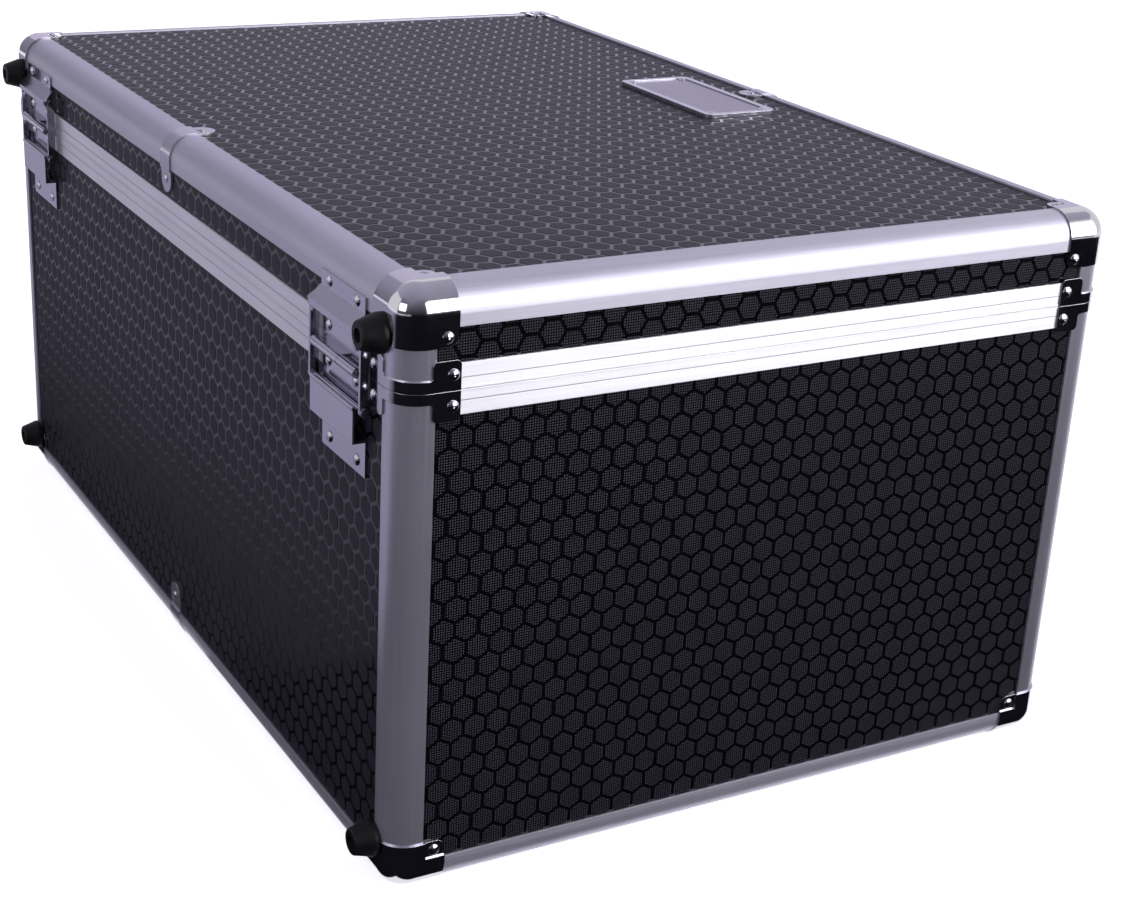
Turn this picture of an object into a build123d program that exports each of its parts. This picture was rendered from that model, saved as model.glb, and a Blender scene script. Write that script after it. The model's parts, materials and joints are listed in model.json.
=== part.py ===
from build123d import *
import os

os.makedirs("parts", exist_ok=True)

# Flight case, lid closed. +Z is up, the hinges are at the back (+Y), the handle
# and latches at the front (-Y). All sizes in millimetres.

# Overall size, between the outer faces of the edge extrusions
case_length = 800.0
case_depth = 530.0
case_height = 398.0
lid_height = 63.0

# How far the feet at the back and the grip at the front stand off the faces
end_reach = 16.0

# Laminated panels, held in the extrusions a little below their faces
panel_thickness = 7.0
panel_recess = 1.5
panel_inset = 13.0
lining_thickness = 3.0

# Edge extrusions: rounded corner and the flanges that lap the panels
edge_radius = 17.5
top_flange = 21.0
side_flange = 25.0
post_flange = 23.0
bottom_flange = 21.0

# Rims of the lid and the base, where the tongue of one enters the other
lid_rim_height = 16.0
base_rim_height = 15.5
rim_cap = 4.0
rim_lip = 0.4
rim_lip_height = 1.2
parting_gap = 0.3
tongue_depth = 4.0
tongue_width = 2.0
tongue_height = 2.2
tongue_clearance = 0.4
tongue_end = 20.0

# Pressed steel corners
cap_proud = 1.2
cap_lap = 1.5
ball_reach = 36.5
ball_ear = 33.5
foot_cap_reach = 38.0
foot_cap_height = 34.0
ear_round = 6.0

# Corner brackets at the parting
bracket_band = 7.0
bracket_height = 18.5
bracket_reach = 38.5
bracket_start = 20.5
bracket_round = 3.5
bracket_rivet_in = 33.5
bracket_rivet_up = 9.5

# Clips over the middle of the long edges
strap_width = 20.0
strap_thickness = 1.0
strap_side_end = 33.0
strap_flat_end = 27.0

# Rubber feet
foot_radius = 12.25
foot_tip_radius = 8.5
foot_recess_radius = 4.5
foot_recess_depth = 5.0
foot_in = 24.0
foot_down = 31.5

# Fasteners
rivet_radius = 3.8
rivet_rise = 1.9
rivet_wall = 0.4
small_rivet_radius = 3.2
screw_radius = 4.2
screw_height = 2.5

# Nameplate
plate_length = 136.0
plate_width = 65.0
plate_thickness = 3.0
plate_border = 5.0
plate_field_depth = 0.8
plate_round = 6.0
plate_from_front = 81.0
plate_rivet_inset = 8.5

# Lid-stay hinges
hinge_from_end = 78.5
hinge_width = 65.0
hinge_axis_out = 5.5
hinge_sheet = 1.2
barrel_radius = 3.4
hinge_pin_radius = 1.75
running_clearance = 0.05
knuckle_split = -7.5
knuckle_gap = 0.5
leaf_width = 58.0
leaf_foot = 2.0
lid_leaf_top = 20.5
base_leaf_start = 3.5
base_leaf_end = 24.5
lid_leaf_rivet = 13.0
base_leaf_rivet = 9.5
hinge_rivet_spacing = 41.0
hood_front_width = 78.0
hood_front_out = 8.4
hood_front_up = 26.5
hood_lip_up = 22.5
hood_bend_up = 34.5
hood_top_up = 45.5
hood_rivet_up = 40.5
cheek_low = 18.0
cheek_out = 6.4
cheek_clearance = 0.3
link_inner = 36.5
link_thickness = 2.5
link_width = 6.0
link_top_up = 24.0
link_top_out = 3.5
stay_pin_down = 23.0
stay_pin_out = 3.8
stay_pin_radius = 2.0
stay_head_radius = 3.0
stay_head_height = 1.0
guide_out = 6.9
guide_thickness = 1.5
guide_top_down = 22.0
guide_step_down = 44.5
guide_end_down = 67.5
guide_rivet_down = 59.5
guide_roll_radius = 1.3

# Draw latches at the front
latch_from_end = 170.0
latch_plate_width = 44.0
latch_plate_end = 62.0
latch_plate_thickness = 1.5
latch_pivot_down = 24.0
latch_pivot_out = 6.5
latch_pin_radius = 2.0
latch_lug_radius = 4.5
latch_lug_inner = 16.0
latch_lug_thickness = 3.0
lever_width = 30.0
lever_length = 34.0
lever_thickness = 2.0
lever_lip = 3.0
lever_barrel_radius = 3.5
bail_pivot_drop = 12.0
bail_pivot_out = 11.0
bail_wire_radius = 1.5
bail_lug_radius = 3.0
bail_lug_inner = 11.0
bail_lug_thickness = 3.5
bail_half_width = 18.5
bail_length = 42.0
bail_bend = 4.0
keeper_width = 30.0
keeper_low = 2.0
keeper_top = 20.0
keeper_thickness = 1.5
keeper_hook_up = 5.0
keeper_hook_out = 6.5
keeper_hook_rise = 6.0

# Carrying handle at the front
handle_pivot_z = 240.0
handle_drop = 46.0
handle_half_width = 62.0
handle_rod_radius = 3.5
handle_grip_radius = 7.5
handle_grip_length = 96.0
handle_grip_bend = 9.0
handle_ear_bend = 5.0
handle_lug_start = 68.0
handle_lug_width = 8.0
handle_lug_radius = 7.0
handle_rod_end = 77.5
handle_plate_width = 34.0
handle_plate_height = 44.0
handle_plate_thickness = 2.0

# Levels and the planes of the six outer faces
bottom_z = cap_proud
top_z = bottom_z + case_height
parting_z = top_z - lid_height
lid_z = parting_z + parting_gap
wall_depth = panel_recess + panel_thickness
half_length = case_length / 2
half_depth = case_depth / 2
hinge_centre = half_length - hinge_from_end
latch_centre = half_length - latch_from_end
plate_centre_y = plate_from_front - half_depth
front = Plane(origin=(0, -half_depth, 0), x_dir=(1, 0, 0), z_dir=(0, -1, 0))
back = Plane(origin=(0, half_depth, 0), x_dir=(-1, 0, 0), z_dir=(0, 1, 0))
left = Plane(origin=(-half_length, 0, 0), x_dir=(0, -1, 0), z_dir=(-1, 0, 0))
right = Plane(origin=(half_length, 0, 0), x_dir=(0, 1, 0), z_dir=(1, 0, 0))
top = Plane(origin=(0, 0, top_z), x_dir=(1, 0, 0), z_dir=(0, 0, 1))
bottom = Plane(origin=(0, 0, bottom_z), x_dir=(1, 0, 0), z_dir=(0, 0, -1))
corner_signs = [(sx, sy) for sx in (-1, 1) for sy in (-1, 1)]


def keep(part, name):
    """Label a finished piece and write it."""
    part.label = name
    export_step(part, f"parts/{name}.step")


def span(x, y, z, mode=Mode.ADD):
    """Block between two limits on each axis, in the part being built."""
    with Locations(((x[0] + x[1]) / 2, (y[0] + y[1]) / 2, (z[0] + z[1]) / 2)):
        Box(abs(x[1] - x[0]), abs(y[1] - y[0]), abs(z[1] - z[0]), mode=mode)


def across(points, x, mode=Mode.ADD):
    """Prism of a y-z outline between two x limits, in the part being built."""
    with BuildSketch(Plane.YZ.offset(x[0])) as outline:
        with BuildLine():
            Polyline(*points, close=True)
        make_face()
    extrude(outline.sketch, amount=x[1] - x[0], mode=mode)


def rod_across(y, z, radius, x, mode=Mode.ADD):
    """Round bar along x between two limits, in the part being built."""
    with BuildSketch(Plane.YZ.offset(x[0])) as circle:
        with Locations((y, z)):
            Circle(radius)
    extrude(circle.sketch, amount=x[1] - x[0], mode=mode)


def spots(face, lift, points):
    """Places on a face, a given height off it."""
    raised = face.offset(lift)
    return [raised.location * Location((u, v, 0)) for u, v in points]


def case_outline(grow):
    """Closed case with every edge rounded, grown outwards by a given amount."""
    with BuildPart() as solid:
        with Locations((0, 0, bottom_z + case_height / 2)):
            Box(case_length + 2 * grow, case_depth + 2 * grow, case_height + 2 * grow)
        fillet(solid.edges(), edge_radius + grow)
    return solid.part


outline = case_outline(0)
with BuildPart() as cap_skin:
    add(case_outline(cap_proud))
    add(outline, mode=Mode.SUBTRACT)


def edge_extrusion(corner, along_a, along_b, flange_a, flange_b, half_run):
    """Edge extrusion with a rounded solid corner and two flanges over the panels."""
    across_both = Vector(*along_a).cross(Vector(*along_b))
    with BuildPart() as extrusion:
        with BuildSketch(Plane(origin=corner, x_dir=along_a, z_dir=across_both)):
            with BuildLine():
                Polyline(
                    (edge_radius, 0),
                    (flange_a, 0),
                    (flange_a, panel_recess),
                    (panel_inset, panel_recess),
                    (panel_inset, wall_depth),
                    (wall_depth, wall_depth),
                    (wall_depth, panel_inset),
                    (panel_recess, panel_inset),
                    (panel_recess, flange_b),
                    (0, flange_b),
                    (0, edge_radius),
                )
                CenterArc((edge_radius, edge_radius), edge_radius, 180, 90)
            make_face()
        extrude(amount=half_run, both=True)
    return extrusion.part


# Laminated panels of the base and the lid
inner_x = half_length - panel_inset
inner_y = half_depth - panel_inset
wall_x = (half_length - wall_depth, half_length - panel_recess)
wall_y = (half_depth - wall_depth, half_depth - panel_recess)
base_wall_z = (bottom_z + panel_inset, parting_z - rim_cap)
lid_wall_z = (lid_z + rim_cap, top_z - panel_inset)
panels = {
    "bottom_panel": (
        (-inner_x, inner_x),
        (-inner_y, inner_y),
        (bottom_z + panel_recess, bottom_z + wall_depth),
    ),
    "lid_panel": (
        (-inner_x, inner_x),
        (-inner_y, inner_y),
        (top_z - wall_depth, top_z - panel_recess),
    ),
}
for owner, wall_z in (("base", base_wall_z), ("lid", lid_wall_z)):
    panels[f"{owner}_panel_front"] = ((-inner_x, inner_x), (-wall_y[1], -wall_y[0]), wall_z)
    panels[f"{owner}_panel_back"] = ((-inner_x, inner_x), wall_y, wall_z)
    panels[f"{owner}_panel_left"] = ((-wall_x[1], -wall_x[0]), (-inner_y, inner_y), wall_z)
    panels[f"{owner}_panel_right"] = (wall_x, (-inner_y, inner_y), wall_z)
for name, (x, y, z) in panels.items():
    with BuildPart() as panel:
        span(x, y, z)
    keep(panel.part, name)

# Extrusions along the top and bottom edges
edge_runs = {
    "front": ((0, -half_depth), (0, 1), half_length - post_flange),
    "back": ((0, half_depth), (0, -1), half_length - post_flange),
    "left": ((-half_length, 0), (1, 0), half_depth - post_flange),
    "right": ((half_length, 0), (-1, 0), half_depth - post_flange),
}
for side, (corner, inwards, half_run) in edge_runs.items():
    top_edge = edge_extrusion(
        (*corner, top_z), (*inwards, 0), (0, 0, -1), top_flange, side_flange, half_run
    )
    keep(top_edge, f"top_edge_{side}")
    bottom_edge = edge_extrusion(
        (*corner, bottom_z), (*inwards, 0), (0, 0, 1), bottom_flange, bottom_flange, half_run
    )
    keep(bottom_edge, f"bottom_edge_{side}")


def post_group(low, high):
    """Four upright corner extrusions between two levels, rounded as the case is."""
    uprights = [
        edge_extrusion(
            (sx * half_length, sy * half_depth, (low + high) / 2),
            (-sx, 0, 0),
            (0, -sy, 0),
            post_flange,
            post_flange,
            (high - low) / 2,
        )
        for sx, sy in corner_signs
    ]
    with BuildPart() as group:
        add(uprights)
        add(outline, mode=Mode.INTERSECT)
    return group.part


keep(post_group(bottom_z, parting_z), "base_posts")
keep(post_group(lid_z, top_z), "lid_posts")


def rim_group(meeting_z, up, height):
    """Four rims round the parting: a face strip, a cap on the panel and a bright lip."""
    with BuildPart() as group:
        for sign in (-1, 1):
            strip = (sign * half_depth, sign * (half_depth - panel_recess))
            cap = (sign * (half_depth - panel_recess), sign * (half_depth - wall_depth))
            lip = (sign * half_depth, sign * (half_depth + rim_lip))
            strip_run = half_length - post_flange
            lip_run = half_length - bracket_reach
            span((-strip_run, strip_run), strip, (meeting_z, meeting_z + up * height))
            span((-inner_x, inner_x), cap, (meeting_z, meeting_z + up * rim_cap))
            span((-lip_run, lip_run), lip, (meeting_z, meeting_z + up * rim_lip_height))
            strip = (sign * half_length, sign * (half_length - panel_recess))
            cap = (sign * (half_length - panel_recess), sign * (half_length - wall_depth))
            lip = (sign * half_length, sign * (half_length + rim_lip))
            strip_run = half_depth - post_flange
            lip_run = half_depth - bracket_reach
            span(strip, (-strip_run, strip_run), (meeting_z, meeting_z + up * height))
            span(cap, (-inner_y, inner_y), (meeting_z, meeting_z + up * rim_cap))
            span(lip, (-lip_run, lip_run), (meeting_z, meeting_z + up * rim_lip_height))
    return group.part


def tongue(z, grow, mode):
    """Tongue of the base rim round all four sides, or the groove that takes it."""
    near = tongue_depth - grow
    far = tongue_depth + tongue_width + grow
    run_x = half_length - tongue_end + grow
    run_y = half_depth - tongue_end + grow
    for sign in (-1, 1):
        span((-run_x, run_x), (sign * (half_depth - near), sign * (half_depth - far)), z, mode)
        span((sign * (half_length - near), sign * (half_length - far)), (-run_y, run_y), z, mode)


with BuildPart() as base_rims:
    add(rim_group(parting_z, -1, base_rim_height))
    tongue((parting_z, parting_z + tongue_height), 0, Mode.ADD)
keep(base_rims.part, "base_rims")

with BuildPart() as lid_rims:
    add(rim_group(lid_z, 1, lid_rim_height))
    tongue((lid_z, lid_z + tongue_height), tongue_clearance, Mode.SUBTRACT)
keep(lid_rims.part, "lid_rims")


def lining(low, high, floor_z):
    """Thin soft lining inside the panels, open at the parting."""
    outer_x = half_length - wall_depth
    outer_y = half_depth - wall_depth
    hollow_x = outer_x - lining_thickness
    hollow_y = outer_y - lining_thickness
    with BuildPart() as box:
        span((-outer_x, outer_x), (-outer_y, outer_y), (low, high))
        span((-hollow_x, hollow_x), (-hollow_y, hollow_y), floor_z, Mode.SUBTRACT)
    return box.part


base_floor = bottom_z + wall_depth
lid_ceiling = top_z - wall_depth
keep(
    lining(base_floor, parting_z, (base_floor + lining_thickness, parting_z)),
    "base_lining",
)
keep(
    lining(lid_z, lid_ceiling, (lid_z, lid_ceiling - lining_thickness)),
    "lid_lining",
)


def ear_on(face, corner_u, face_v, inward_u, inward_v, start, end):
    """Flat ear between two lobes, level with the extrusions and rounded at its tip."""
    u = [corner_u + inward_u * start[0], corner_u + inward_u * end[0]]
    v = [face_v + inward_v * start[1], face_v + inward_v * end[1]]
    with BuildSketch(face) as ear:
        with Locations(((u[0] + u[1]) / 2, (v[0] + v[1]) / 2)):
            Rectangle(abs(u[1] - u[0]), abs(v[1] - v[0]))
        fillet(ear.vertices().sort_by_distance(Vertex(u[1], v[1], 0))[0], ear_round)
    extrude(ear.sketch, amount=-panel_recess)


def corner_cap(face_z, inward_z, reach, post_reach, flat_flange, side_width, ear_end, flat_ear_end):
    """Pressed steel cap on one corner: three lobes along the edges and three ears."""
    flat_face = top if inward_z < 0 else bottom
    lobe_flat = flat_flange + cap_lap
    lobe_side = side_width + cap_lap
    lobe_post = post_flange + cap_lap
    x_span = lambda width: (half_length - width, half_length + cap_proud)
    y_span = lambda width: (half_depth - width, half_depth + cap_proud)
    z_span = lambda height: (face_z - inward_z * cap_proud, face_z + inward_z * height)
    with BuildPart() as cap:
        span(x_span(reach), y_span(lobe_flat), z_span(lobe_side))
        span(x_span(lobe_flat), y_span(reach), z_span(lobe_side))
        span(x_span(lobe_post), y_span(lobe_post), z_span(post_reach))
        add(cap_skin.part, mode=Mode.INTERSECT)
        side_start = (post_flange, side_width)
        ear_on(right, half_depth, face_z, -1, inward_z, side_start, ear_end)
        ear_on(back, -half_length, face_z, 1, inward_z, side_start, ear_end)
        flat_sign = 1 if inward_z < 0 else -1
        flat_start = (flat_flange, flat_flange)
        ear_on(flat_face, half_length, flat_sign * half_depth, -1, -flat_sign, flat_start, flat_ear_end)
    return cap.part


def four_corners(part, stem):
    """Write a corner piece and its mirror images as separate pieces."""
    with BuildPart() as back_left:
        mirror(part, about=Plane.YZ)
    with BuildPart() as front_right:
        mirror(part, about=Plane.XZ)
    with BuildPart() as front_left:
        mirror(back_left.part, about=Plane.XZ)
    keep(part, f"{stem}_back_right")
    keep(back_left.part, f"{stem}_back_left")
    keep(front_right.part, f"{stem}_front_right")
    keep(front_left.part, f"{stem}_front_left")


ball_side_ear = (ball_reach, ball_reach)
ball_flat_ear = (ball_ear, ball_ear)
ball_corner = corner_cap(
    top_z, -1, ball_reach, ball_reach, top_flange, side_flange, ball_side_ear, ball_flat_ear
)
four_corners(ball_corner, "ball_corner")
cap_side_ear = (foot_cap_reach, foot_cap_height)
cap_flat_ear = (foot_cap_reach, foot_cap_reach)
bottom_cap = corner_cap(
    bottom_z, 1, foot_cap_reach, foot_cap_height, bottom_flange, bottom_flange, cap_side_ear, cap_flat_ear
)
four_corners(bottom_cap, "bottom_cap")


def bracket_group(meeting_z, up):
    """Four corner brackets: a band round the post and a rounded ear on each face."""

    def ear(corner_u, inward, face):
        at = lambda u, v: (corner_u + inward * u, meeting_z + up * v)
        with BuildSketch(face) as outline_2d:
            with BuildLine():
                FilletPolyline(
                    at(edge_radius, bracket_band),
                    at(bracket_start, bracket_band),
                    at(bracket_start, bracket_height),
                    at(bracket_reach, bracket_height),
                    at(bracket_reach, 0),
                    radius=[bracket_round / 2, bracket_round, bracket_round],
                )
                Polyline(
                    at(bracket_reach, 0),
                    at(edge_radius, 0),
                    at(edge_radius, bracket_band),
                )
            make_face()
        extrude(outline_2d.sketch, amount=cap_proud)

    with BuildPart() as group:
        span(
            (half_length - edge_radius, half_length + cap_proud),
            (half_depth - edge_radius, half_depth + cap_proud),
            (meeting_z, meeting_z + up * bracket_band),
        )
        add(cap_skin.part, mode=Mode.INTERSECT)
        ear(half_depth, -1, right)
        ear(-half_length, 1, back)
        mirror(about=Plane.YZ)
        mirror(about=Plane.XZ)
    return group.part


keep(bracket_group(lid_z, 1), "lid_corner_brackets")
keep(bracket_group(parting_z, -1), "base_corner_brackets")


def strap_pair(face_z, inward_z, flat_flange, side_width, name):
    """Clips over the middle of the front and back edges, with round riveted ends."""
    flat_face = top if inward_z < 0 else bottom
    flat_sign = 1 if inward_z < 0 else -1
    half_width = strap_width / 2

    def round_end(face, level, inward, start, end):
        """Riveted end of the clip, level with the extrusions, from the flange's edge on."""
        reach = end + half_width
        with BuildSketch(face) as shape:
            with Locations((0, level + inward * end)):
                Circle(half_width)
            with Locations((0, level + inward * (start + end) / 2)):
                Rectangle(strap_width, end - start)
            with Locations((0, level + inward * (start + reach) / 2)):
                Rectangle(strap_width, reach - start, mode=Mode.INTERSECT)
        extrude(shape.sketch, amount=-panel_recess)

    with BuildPart() as pair:
        span(
            (-half_width, half_width),
            (half_depth - flat_flange - cap_lap, half_depth + strap_thickness),
            (face_z - inward_z * strap_thickness, face_z + inward_z * (side_width + cap_lap)),
        )
        add(strap_skin, mode=Mode.INTERSECT)
        add(outline, mode=Mode.SUBTRACT)
        round_end(back, face_z, inward_z, side_width, strap_side_end)
        round_end(flat_face, flat_sign * half_depth, -flat_sign, flat_flange, strap_flat_end)
        mirror(about=Plane.XZ)
    keep(pair.part, name)


strap_skin = case_outline(strap_thickness)
strap_pair(top_z, -1, top_flange, side_flange, "top_straps")
strap_pair(bottom_z, 1, bottom_flange, bottom_flange, "bottom_straps")

# Rubber feet on the back, seated on the steel corners
with BuildPart() as foot:
    with BuildSketch(Plane.XZ) as foot_section:
        with BuildLine():
            Polyline(
                (0, 0),
                (foot_radius, 0),
                (foot_radius, 2.5),
                (foot_tip_radius, end_reach - cap_proud),
                (foot_recess_radius, end_reach - cap_proud),
                (foot_recess_radius, end_reach - cap_proud - foot_recess_depth),
                (0, end_reach - cap_proud - foot_recess_depth),
                close=True,
            )
        make_face()
    revolve(axis=Axis.Z)
    fillet(foot.edges().filter_by(GeomType.CIRCLE).group_by(Axis.Z)[-1].sort_by(SortBy.RADIUS)[-1], 1.5)

foot_u = half_length - foot_in
lid_foot_points = [(-foot_u, top_z - foot_down), (foot_u, top_z - foot_down)]
base_foot_points = [(-foot_u, bottom_z + foot_down), (foot_u, bottom_z + foot_down)]
for name, points in (("lid_feet", lid_foot_points), ("base_feet", base_foot_points)):
    with BuildPart() as feet:
        with Locations(*spots(back, cap_proud, points)):
            add(foot.part)
    keep(feet.part, name)

# Nameplate on the lid, bare, with a raised border
plate_base_z = top_z - panel_recess
with BuildPart() as nameplate:
    with BuildSketch(Plane.XY.offset(plate_base_z)):
        with Locations((0, plate_centre_y)):
            RectangleRounded(plate_length, plate_width, plate_round)
    extrude(amount=plate_thickness)
    with BuildSketch(Plane.XY.offset(plate_base_z + plate_thickness)):
        with Locations((0, plate_centre_y)):
            RectangleRounded(
                plate_length - 2 * plate_border,
                plate_width - 2 * plate_border,
                plate_round - plate_border / 2,
            )
    extrude(amount=-plate_field_depth, mode=Mode.SUBTRACT)
keep(nameplate.part, "nameplate")


def at_hinges(part):
    """A hinge piece at both hinges, which are alike and not mirrored."""
    with BuildPart() as pair:
        with Locations((-hinge_centre, 0, 0), (hinge_centre, 0, 0)):
            add(part)
    return pair.part


# Hinge sizes from the back face outwards and from the hinge axis upwards
axis_y = half_depth + hinge_axis_out
axis_z = parting_z
half_hinge = hinge_width / 2
half_leaf = leaf_width / 2


def hinge_yz(points):
    """Points given as height off the back face and level from the hinge axis."""
    return [(half_depth + out, axis_z + up) for out, up in points]


def leaf(up, start, end, knuckle):
    """Hinge leaf: a plate on the rim, a foot up to the barrel, and its knuckle."""
    with BuildPart() as piece:
        plate = [(0, up * start), (hinge_sheet, up * start), (hinge_sheet, up * end), (0, up * end)]
        across(hinge_yz(plate), (-half_leaf, half_leaf))
        foot_run = (max(knuckle[0], -half_leaf), min(knuckle[1], half_leaf))
        arm = [
            (0, up * start),
            (hinge_axis_out, up * (barrel_radius - hinge_sheet)),
            (hinge_axis_out, up * barrel_radius),
            (hinge_sheet, up * (start + leaf_foot)),
            (0, up * (start + leaf_foot)),
        ]
        across(hinge_yz(arm), foot_run)
        rod_across(axis_y, axis_z, barrel_radius, knuckle)
        bore = hinge_pin_radius + running_clearance
        rod_across(axis_y, axis_z, bore, (-half_hinge, half_hinge), Mode.SUBTRACT)
    return piece.part


long_knuckle = (knuckle_split + knuckle_gap / 2, half_hinge)
short_knuckle = (-half_hinge, knuckle_split - knuckle_gap / 2)
keep(at_hinges(leaf(1, rim_lip_height + parting_gap, lid_leaf_top, long_knuckle)), "hinge_lid_leaves")
keep(at_hinges(leaf(-1, base_leaf_start, base_leaf_end, short_knuckle)), "hinge_base_leaves")

with BuildPart() as hinge_pin:
    rod_across(axis_y, axis_z, hinge_pin_radius, (-half_hinge - 1, half_hinge))
keep(at_hinges(hinge_pin.part), "hinge_pins")

# Hood over the links on the lid: flange, flared roof, front lip and two cheeks
cheek_outer = link_inner - cheek_clearance
with BuildPart() as hood:
    flange = [
        (0, hood_bend_up),
        (hinge_sheet, hood_bend_up),
        (hinge_sheet, hood_top_up),
        (0, hood_top_up),
    ]
    across(hinge_yz(flange), (-half_hinge, half_hinge))
    roof = [
        (hinge_sheet, hood_bend_up + hinge_sheet),
        (0, hood_bend_up),
        (hood_front_out - hinge_sheet, hood_front_up - hinge_sheet / 2),
        (hood_front_out, hood_front_up),
    ]
    half_front = hood_front_width / 2
    across(hinge_yz(roof), (-half_front, half_front))
    with BuildSketch(back) as flare:
        with BuildLine():
            Polyline(
                (-half_front, axis_z + hood_front_up - hinge_sheet),
                (half_front, axis_z + hood_front_up - hinge_sheet),
                (half_hinge, axis_z + hood_bend_up),
                (half_hinge, axis_z + hood_top_up),
                (-half_hinge, axis_z + hood_top_up),
                (-half_hinge, axis_z + hood_bend_up),
                close=True,
            )
        make_face()
    extrude(flare.sketch, amount=hood_front_out, mode=Mode.INTERSECT)
    lip = [
        (hood_front_out - hinge_sheet, hood_lip_up),
        (hood_front_out, hood_lip_up),
        (hood_front_out, hood_front_up),
        (hood_front_out - hinge_sheet, hood_front_up),
    ]
    across(hinge_yz(lip), (-cheek_outer, cheek_outer))
    cheek = [
        (cheek_clearance, cheek_low),
        (cheek_out, cheek_low),
        (hood_front_out - hinge_sheet, hood_lip_up),
        (hood_front_out - hinge_sheet, hood_front_up - hinge_sheet / 2),
        (hinge_sheet / 2, hood_bend_up),
        (cheek_clearance, hood_bend_up),
    ]
    for sign in (-1, 1):
        cheek_run = sorted((sign * cheek_outer, sign * (cheek_outer - hinge_sheet)))
        across(hinge_yz(cheek), cheek_run)
keep(at_hinges(hood.part), "hinge_hoods")

# Guide on the base: flange on the panel, a step out and the plate in front of the stay pin
with BuildPart() as guide:
    guide_front = guide_out + guide_thickness
    section = [
        (-panel_recess, -guide_end_down),
        (0, -guide_end_down),
        (0, -guide_step_down),
        (guide_front, -guide_step_down),
        (guide_front, -guide_top_down),
        (guide_out, -guide_top_down),
        (guide_out, -guide_step_down + guide_thickness),
        (-panel_recess, -guide_step_down + guide_thickness),
    ]
    across(hinge_yz(section), (-half_hinge, half_hinge))
    roll_y = half_depth + guide_front - guide_roll_radius / 2
    rod_across(roll_y, axis_z - guide_top_down, guide_roll_radius, (-half_hinge, half_hinge))
keep(at_hinges(guide.part), "hinge_guides")

# Stay links and the pin at their lower end, which slides behind the guide
pin_y = half_depth + stay_pin_out
pin_z = axis_z - stay_pin_down
link_y = half_depth + link_top_out
link_z = axis_z + link_top_up
link_faces = (link_inner, link_inner + link_thickness)
with BuildPart() as links:
    for sign in (-1, 1):
        run = sorted((sign * link_faces[0], sign * link_faces[1]))
        lean = Vector(0, link_y - pin_y, link_z - pin_z)
        middle = Vector(run[0], (link_y + pin_y) / 2, (link_z + pin_z) / 2)
        with BuildSketch(Plane(origin=middle, x_dir=lean, z_dir=(1, 0, 0))) as bar:
            SlotCenterToCenter(lean.length, link_width)
        extrude(bar.sketch, amount=link_thickness)
        bore = stay_pin_radius + running_clearance
        rod_across(pin_y, pin_z, bore, run, Mode.SUBTRACT)
        outer_face = sign * link_faces[1]
        head = sorted((outer_face, outer_face + sign * stay_head_height))
        rod_across(link_y, link_z, stay_head_radius, head)

stay_end = link_faces[1] + 2 * running_clearance
with BuildPart() as stay_pin:
    rod_across(pin_y, pin_z, stay_pin_radius, (-stay_end, stay_end))
    for sign in (-1, 1):
        head = sorted((sign * stay_end, sign * (stay_end + stay_head_height)))
        rod_across(pin_y, pin_z, stay_head_radius, head)

for side, sign in (("left", -1), ("right", 1)):
    for part, stem in ((links.part, "stay_links"), (stay_pin.part, "stay_pin")):
        with BuildPart() as placed:
            with Locations((sign * hinge_centre, 0, 0)):
                add(part)
        keep(placed.part, f"{side}_{stem}")


def front_yz(points, level):
    """Points given as height off the front face and level from a pivot."""
    return [(-half_depth - out, level + up) for out, up in points]


def at_latches(part):
    """A latch piece at both latches."""
    with BuildPart() as pair:
        with Locations((-latch_centre, 0, 0), (latch_centre, 0, 0)):
            add(part)
    return pair.part


# Latch plate on the base, with two lugs for the lever's pin
lever_z = parting_z - latch_pivot_down
lever_y = -half_depth - latch_pivot_out
half_plate = latch_plate_width / 2
with BuildPart() as latch_plate:
    plate_start = -rim_lip_height - parting_gap
    plate = [
        (0, plate_start),
        (latch_plate_thickness, plate_start),
        (latch_plate_thickness, -latch_plate_end),
        (-panel_recess, -latch_plate_end),
        (-panel_recess, -base_rim_height),
        (0, -base_rim_height),
    ]
    across(front_yz(plate, parting_z), (-half_plate, half_plate))
    for sign in (-1, 1):
        run = sorted((sign * latch_lug_inner, sign * (latch_lug_inner + latch_lug_thickness)))
        rod_across(lever_y, lever_z, latch_lug_radius, run)
        base = [
            (0, latch_lug_radius),
            (latch_pivot_out, latch_lug_radius),
            (latch_pivot_out, -latch_lug_radius),
            (0, -latch_lug_radius),
        ]
        across(front_yz(base, lever_z), run)
        bore = latch_pin_radius + running_clearance
        rod_across(lever_y, lever_z, bore, run, Mode.SUBTRACT)
keep(at_latches(latch_plate.part), "latch_plates")

# Latch lever with its own pin and the two lugs that carry the bail
bail_y = -half_depth - bail_pivot_out
bail_z = lever_z - bail_pivot_drop
lever_front = latch_pivot_out + lever_thickness / 2
with BuildPart() as lever:
    half_lever = lever_width / 2
    blade = [
        (latch_pivot_out - lever_thickness / 2, 0),
        (lever_front, 0),
        (lever_front, -lever_length + lever_thickness),
        (lever_front + lever_lip, -lever_length),
        (latch_pivot_out - lever_thickness / 2, -lever_length),
    ]
    across(front_yz(blade, lever_z), (-half_lever, half_lever))
    rod_across(lever_y, lever_z, lever_barrel_radius, (-half_lever, half_lever))
    pin_run = latch_lug_inner + latch_lug_thickness
    rod_across(lever_y, lever_z, latch_pin_radius, (-pin_run, pin_run))
    for sign in (-1, 1):
        run = sorted((sign * bail_lug_inner, sign * (bail_lug_inner + bail_lug_thickness)))
        rod_across(bail_y, bail_z, bail_lug_radius, run)
        base = [
            (latch_pivot_out, bail_lug_radius),
            (bail_pivot_out, bail_lug_radius),
            (bail_pivot_out, -bail_lug_radius),
            (latch_pivot_out, -bail_lug_radius),
        ]
        across(front_yz(base, bail_z), run)
        bore = bail_wire_radius + running_clearance
        rod_across(bail_y, bail_z, bore, run, Mode.SUBTRACT)

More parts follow.
